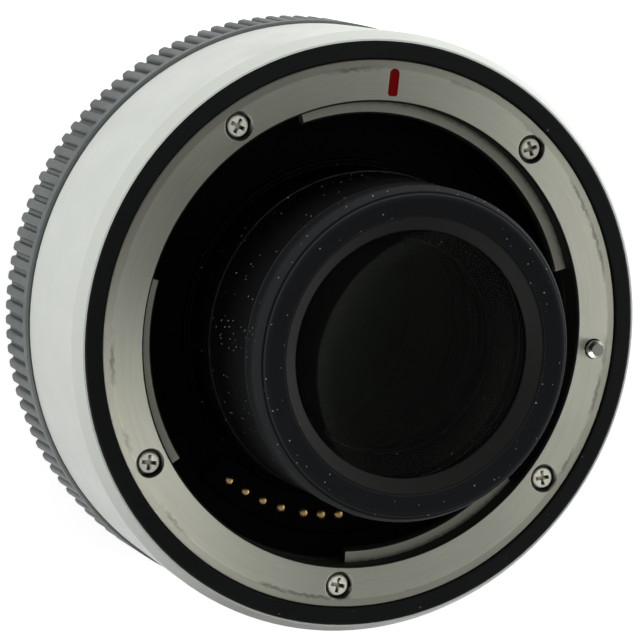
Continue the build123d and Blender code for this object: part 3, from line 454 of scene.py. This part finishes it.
def rimWearAndWallShade(tree, rim, ring, look, colour, rough):
    # Painted shade on steep walls such as counterbores and slots, then the worn band and its ragged marks
    facing = addNode(tree, "ShaderNodeNewGeometry").outputs["Normal"]
    upright = sums(tree, "ABSOLUTE", heightOf(tree, facing))
    walls = sums(tree, "SUBTRACT", ranged(tree, upright, *rim["shadedWallFacing"]), ring["Band"], clamp=True)
    colour = mixed(tree, walls, colour, solid(rim["paintedWallShade"]))
    colour = tinted(tree, colour, ring["Band"], rim["bandTone"], look["dark"])
    colour = tinted(tree, colour, ring["Marks"], rim["markTone"], rim["markColour"])
    return colour, sums(tree, "MULTIPLY_ADD", ring["Band"], rim["bandRoughness"], rough)


def makeFinish(name, look):
    finish = bpy.data.materials.new(name)
    finish.use_nodes = True
    tree = finish.node_tree
    shader = tree.nodes["Principled BSDF"]
    shader.inputs["Metallic"].default_value = look.get("metallic", 0.0)
    shader.inputs["Specular IOR Level"].default_value = look.get("specular", 0.5)
    shader.inputs["Specular Tint"].default_value = solid([look.get("sheen", 1.0)] * 3)
    shader.inputs["Anisotropic"].default_value = look.get("anisotropic", 0.0)
    shader.inputs["Anisotropic Rotation"].default_value = common["sheenTurn"]
    grain = placeGroup(tree, surfaceGrain, {"Size": look["grainSize"]})
    spread = grain["Patches"]
    colour = mixed(tree, ranged(tree, spread, 0, 1, 0, look["patchTone"]), solid(look["colour"]),
                   solid(look["dark"]))
    height = sums(tree, "MULTIPLY", grain["Grain"], look["grainHeight"])
    if "lineSpacing" in look:
        marks = placeGroup(tree, latheMarks, {"Spacing": look["lineSpacing"]})
        lighter = [tone * common["bandLift"] for tone in look["colour"]]
        colour = tinted(tree, colour, marks["Lines"], look["lineTone"], look["dark"])
        colour = tinted(tree, colour, marks["Bands"], look["lineTone"], lighter)
        height = sums(tree, "MULTIPLY_ADD", marks["Lines"], look["lineHeight"], height)
        spread = sums(tree, "MULTIPLY", sums(tree, "ADD", spread, marks["Lines"]), 0.5)
    rough = ranged(tree, spread, 0, 1, look["roughness"] - look["roughnessSpread"],
                   look["roughness"] + look["roughnessSpread"])
    worn = sums(tree, "MULTIPLY", placeGroup(tree, edgeWear, {})["Wear"], look["wear"])
    if "rim" in look:
        rim = look["rim"]
        ring = placeGroup(tree, rimWear, rim["place"])
        worn = sums(tree, "MULTIPLY", worn, ranged(tree, ring["Band"], 0, 1, rim["wearInside"], 1.0))
    colour = mixed(tree, worn, colour, solid(look["worn"]))
    if "rim" in look:
        colour, rough = rimWearAndWallShade(tree, rim, ring, look, colour, rough)
    # Painted highlight lines and bands round the axis, with the odd darker line
    for radius, level, width, core, tone in look.get("paintedLines", ()):
        line = placeGroup(tree, ringLine, {"Radius": radius, "Height": level, "Width": width, "Core": core})
        colour = mixed(tree, line["Line"], colour, solid([tone * share for share in common["paintedLineTint"]]))
    # Painted shade with some dirt: the colour darkens where ambient occlusion finds nearby surfaces
    if "shadeAndDirt" in look:
        shadeAndDirtGroup = placeGroup(tree, recessShadeAndDirt, {"Reach": look["shadeAndDirtReach"]})
        shade = sums(tree, "MULTIPLY", shadeAndDirtGroup["ShadeAndDirt"], look["shadeAndDirt"])
        colour = mixed(tree, shade, colour, solid(common["shadeAndDirtColour"]))
        rough = sums(tree, "MULTIPLY_ADD", shade, common["shadeAndDirtRoughness"], rough)
    if "dust" in look:
        dust = placeGroup(tree, settledDust, {"Cell": look.get("dustCell", common["dustCell"]),
                                              "Speck": look.get("dustSpeck", common["dustSpeck"])})
        fallen = sums(tree, "MAXIMUM", dust["Specks"], dust["Fibres"])
        colour = tinted(tree, colour, fallen, look["dust"], look["dustColour"])
    feed(tree, shader.inputs["Base Color"], colour)
    feed(tree, shader.inputs["Roughness"], rough)
    bump = addNode(tree, "ShaderNodeBump", {"Height": height, "Distance": mm, "Strength": 1.0})
    feed(tree, shader.inputs["Normal"], bump.outputs[0])
    if "anisotropic" in look:
        feed(tree, shader.inputs["Tangent"], vectors(tree, "CROSS_PRODUCT", (0, 0, 1), objectPlace(tree)))
    return finish


made = {name: makeFinish(name, look) for name, look in finishes.items()}
print("finishes made:", len(made))


# Coated glass: faint tinted reflection, dust on its face

glassLook = {
    "tint": (0.9, 0.95, 0.88), "coating": (0.003, 0.0034, 0.0024), "ior": 1.5,
    "clear": 0.9975,                            # the rest is a faint haze
    "roughness": 0.012, "roughnessShares": (0.5, 1.5), "grain": {"Size": 0.6, "Patch": 9.0},
    "dust": {"Cell": 1.6, "Speck": 0.05}, "dustTone": 0.5, "dustColour": (0.4, 0.4, 0.35),
}


def makeGlass(look):
    finish = bpy.data.materials.new("coatedGlass")
    finish.use_nodes = True
    tree = finish.node_tree
    shader = tree.nodes["Principled BSDF"]
    shader.inputs["Transmission Weight"].default_value = look["clear"]
    shader.inputs["IOR"].default_value = look["ior"]
    shader.inputs["Specular Tint"].default_value = solid(look["coating"])
    grain = placeGroup(tree, surfaceGrain, look["grain"])
    dust = placeGroup(tree, settledDust, look["dust"])
    colour = tinted(tree, solid(look["tint"]), dust["Specks"], look["dustTone"], look["dustColour"])
    low, high = (look["roughness"] * share for share in look["roughnessShares"])
    feed(tree, shader.inputs["Base Color"], colour)
    feed(tree, shader.inputs["Roughness"], ranged(tree, grain["Patches"], 0, 1, low, high))
    return finish


made["coatedGlass"] = makeGlass(glassLook)

slotFinish = {look["slot"]: made[name] for name, look in finishes.items() if "slot" in look}
slotFinish["glass"] = made["coatedGlass"]
nodeSlot = {entry["node"]: entry["material_slot"] for entry in frame["record"]["subparts"]}
nodeFinish = {name: slotFinish[slot] for name, slot in nodeSlot.items()}
for name, look in finishes.items():
    nodeFinish.update({node: made[name] for node in look.get("nodes", ())})
for name, piece in nodes.items():
    piece.material_slots[0].material = nodeFinish[name]
print("finishes put on the nodes")


# Pieces with softened edges, cut from the shapes of their nodes. Widths are in millimetres.

softEdges = {
    "front_mount_ring": 0.06,
    "body_shell": 0.12,
    "grip_ring": 0.17,
    "front_mount_screws": 0.05,
    "front_trim_ring": 0.05,
    "release_lever": 0.12,
    "rear_mount_ring": 0.06,
    "rear_mount_screws": 0.05,
    "rear_trim_ring": 0.05,
    "lens_barrel": 0.08,
    "nose_ring": 0.06,
    "front_retaining_ring": 0.05,
}
edgeRules = {
    "weld": 0.002 * mm,                         # points closer than this are one
    "flat": math.radians(0.4),                  # faces that turn less than this are one
    "sharp": math.radians(25),                  # edges that turn more than this are softened
    "level": 0.9999,                            # a face whose normal rises more than this is level
    "segments": 2,
}


def softenPiece(name, width, rules):
    source = nodes[name]
    shape = bmesh.new()
    shape.from_mesh(source.data)
    bmesh.ops.remove_doubles(shape, verts=shape.verts, dist=rules["weld"])
    bmesh.ops.dissolve_limit(shape, angle_limit=rules["flat"], verts=shape.verts, edges=shape.edges)
    for edge in shape.edges:
        level = {abs(face.normal.z) > rules["level"] for face in edge.link_faces}
        if len(level) == 2 and edge.calc_face_angle() < rules["sharp"]:
            edge.smooth = False                 # keeps a level face flat up to its shallow border
    mesh = bpy.data.meshes.new(name + "_soft")
    shape.to_mesh(mesh)
    shape.free()
    mesh.polygons.foreach_set("use_smooth", [True] * len(mesh.polygons))
    mesh.materials.append(nodeFinish[name])
    piece = addObject(name + "_soft", mesh)
    bevel = piece.modifiers.new("softEdge", "BEVEL")
    bevel.width = width * mm
    bevel.segments = rules["segments"]
    bevel.limit_method = "ANGLE"
    bevel.angle_limit = rules["sharp"]
    bevel.use_clamp_overlap = True
    shading = piece.modifiers.new("faceNormals", "WEIGHTED_NORMAL")
    shading.weight = 100                        # the widest face at each corner keeps its own normal
    shading.keep_sharp = True
    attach(piece, source["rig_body"])
    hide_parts(name)


for name, width in softEdges.items():
    softenPiece(name, width, edgeRules)
print("edges softened on", len(softEdges), "pieces")


# The springs shorten as their pins go down; here each is a plain copy of its node on the same body. Sizes are
# in millimetres.

springs = {
    "lock_pin_spring": {"joint": "lock_pin_slide", "travel": 1.5, "foot": 11.65},
    "contact_springs": {"joint": "contact_press", "travel": 0.8, "foot": 14.37},
}


def placeSpring(name):
    piece = addObject(name + "_live", nodes[name].data.copy())
    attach(piece, nodes[name]["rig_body"])
    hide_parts(name)
    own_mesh(piece)


for name, look in springs.items():
    placeSpring(name)


# Floor, world and lamps. The floor's size and all of the lamps are in metres, the rest in millimetres.

room = {
    "floorHeight": -6.0, "floorSize": 3.0, "floorColour": 0.6, "lift": 0.78,
    "shadeStart": 20.0, "shadeEnd": 34.0,
    "cardHeight": -36.4, "cardWide": 34.0, "cardLong": 40.0,        # dark card that dims the lowest part
    "cardShift": 1.25,                                              # its middle, as a share of its length
    "cardColour": (0.01, 0.01, 0.01),
    "ambient": 1.25, "overhead": 0.5,       # soft light from the horizon, and its share from overhead
    "below": 0.03,                          # what is left of it from below the picture
    "ceiling": 0.26,                        # what gloss finds overhead
    "walls": ((45, 0.3), (90, 3.6), (180, 1.0), (-135, 6.9)),       # bright walls: bearing, strength
    "wallFocus": 4.0,                       # a higher number makes each bright wall narrower
    "glossFade": (0.45, 0.95), "glassFade": (0.1, 0.6),             # rise over which walls turn to ceiling
    "softFade": (0.1, 1.0), "belowFade": (-0.55, -0.1),             # the same for soft light
    "lamps": {
        "keyLamp": {"azimuth": 55, "elevation": 12, "distance": 0.9, "size": 0.7, "power": 6.0},
        "fillLamp": {"azimuth": -95, "elevation": 12, "distance": 0.9, "size": 0.7, "power": 3.0},
    },
}


def seenDirectly(tree):
    path = addNode(tree, "ShaderNodeLightPath").outputs
    either = sums(tree, "ADD", path["Is Camera Ray"], path["Is Glossy Ray"])
    return sums(tree, "ADD", either, path["Is Transmission Ray"], clamp=True)


def addSurface(name, shape, finish):
    mesh = bpy.data.meshes.new(name)
    shape.to_mesh(mesh)
    shape.free()
    mesh.materials.append(finish)
    return addObject(name, mesh)


def makeFloor(look):
    shape = bmesh.new()
    bmesh.ops.create_circle(shape, cap_ends=True, segments=64, radius=look["floorSize"])
    bmesh.ops.translate(shape, verts=shape.verts, vec=(0, 0, look["floorHeight"] * mm))
    finish = bpy.data.materials.new("whiteFloor")
    finish.use_nodes = True
    tree = finish.node_tree
    tree.nodes.clear()
    matt = addNode(tree, "ShaderNodeBsdfDiffuse", {"Color": solid([look["floorColour"]] * 3)})
    glow = addNode(tree, "ShaderNodeEmission", {"Color": (1, 1, 1, 1)})
    away = vectors(tree, "LENGTH", vectors(tree, "MULTIPLY", objectPlace(tree), (1, 1, 0)))
    # The glow fades out towards the middle: a painted shadow under the object
    lift = ranged(tree, away, look["shadeStart"] * mm, look["shadeEnd"] * mm, 0, look["lift"])
    feed(tree, glow.inputs["Strength"], sums(tree, "MULTIPLY", seenDirectly(tree), lift))
    both = addNode(tree, "ShaderNodeAddShader", {0: matt.outputs[0], 1: glow.outputs[0]})
    clear = addNode(tree, "ShaderNodeBsdfTransparent")
    side = addNode(tree, "ShaderNodeNewGeometry").outputs["Backfacing"]
    final = addNode(tree, "ShaderNodeMixShader", {0: side, 1: both.outputs[0], 2: clear.outputs[0]})
    addNode(tree, "ShaderNodeOutputMaterial", {"Surface": final.outputs[0]})
    floor = addSurface("floor", shape, finish)


def makeCard(look):
    # Stands in for the ground that the object rested on
    wide, long = look["cardWide"] * mm, look["cardLong"] * mm
    shape = bmesh.new()
    bmesh.ops.create_grid(shape, x_segments=1, y_segments=1, size=1.0)
    bmesh.ops.scale(shape, verts=shape.verts, vec=(wide, long, 1))
    bmesh.ops.rotate(shape, verts=shape.verts, matrix=Matrix.Rotation(math.radians(90), 3, "X"))
    bmesh.ops.translate(shape, verts=shape.verts, vec=(0, look["cardHeight"] * mm, long * look["cardShift"]))
    finish = bpy.data.materials.new("darkCard")
    finish.use_nodes = True
    finish.node_tree.nodes["Principled BSDF"].inputs["Base Color"].default_value = solid(look["cardColour"])
    card = addSurface("card", shape, finish)
    card.visible_camera = False
    card.visible_glossy = False
    card.visible_transmission = False


def makeWorld(look):
    world = bpy.data.worlds.new("whiteRoom")
    world.use_nodes = True
    tree = world.node_tree
    sky = tree.nodes["Background"]
    sky.inputs["Color"].default_value = (1, 1, 1, 1)
    aim = addNode(tree, "ShaderNodeTexCoord").outputs["Generated"]
    parts = addNode(tree, "ShaderNodeSeparateXYZ", {0: aim}).outputs
    rise = parts["Z"]
    walls = 0.0
    for bearing, strength in look["walls"]:
        toward = (math.sin(math.radians(bearing)), math.cos(math.radians(bearing)), 0)
        lobe = sums(tree, "MAXIMUM", vectors(tree, "DOT_PRODUCT", aim, toward), 0.0)
        walls = sums(tree, "MULTIPLY_ADD", sums(tree, "POWER", lobe, look["wallFocus"]), strength, walls)
    path = addNode(tree, "ShaderNodeLightPath").outputs
    glossOnly = sums(tree, "SUBTRACT", path["Is Glossy Ray"], path["Is Transmission Ray"], clamp=True)
    mirrored = ranged(tree, rise, *look["glossFade"], walls, look["ceiling"])
    mirrored = sums(tree, "MULTIPLY", mirrored, glossOnly)
    through = ranged(tree, rise, *look["glassFade"], 1.0, look["ceiling"])
    through = sums(tree, "MULTIPLY", through, path["Is Transmission Ray"])
    seen = sums(tree, "MAXIMUM", path["Is Camera Ray"], sums(tree, "MAXIMUM", mirrored, through))
    low = ranged(tree, parts["Y"], *look["belowFade"], look["below"], look["ambient"])
    soft = sums(tree, "MULTIPLY", path["Is Diffuse Ray"], low)
    soft = sums(tree, "MULTIPLY", soft, ranged(tree, rise, *look["softFade"], 1.0, look["overhead"]))
    feed(tree, sky.inputs["Strength"], sums(tree, "MAXIMUM", seen, soft))
    bpy.context.scene.world = world


def placeLamps(lamps):
    for name, lamp in lamps.items():
        azimuth, elevation = math.radians(lamp["azimuth"]), math.radians(lamp["elevation"])
        aim = Vector((math.sin(azimuth) * math.cos(elevation), math.cos(azimuth) * math.cos(elevation),
                      math.sin(elevation)))
        light = bpy.data.lights.new(name, "AREA")
        light.shape = "DISK"
        light.size = lamp["size"]
        light.energy = lamp["power"]
        lampObject = addObject(name, light)
        lampObject.visible_glossy = False       # gloss and glass show the room's walls alone
        lampObject.visible_transmission = False
        lampObject.location = aim * lamp["distance"]
        lampObject.rotation_euler = aim.to_track_quat("Z", "Y").to_euler()


makeFloor(room)
makeCard(room)
makeWorld(room)
placeLamps(room["lamps"])
print("room made")
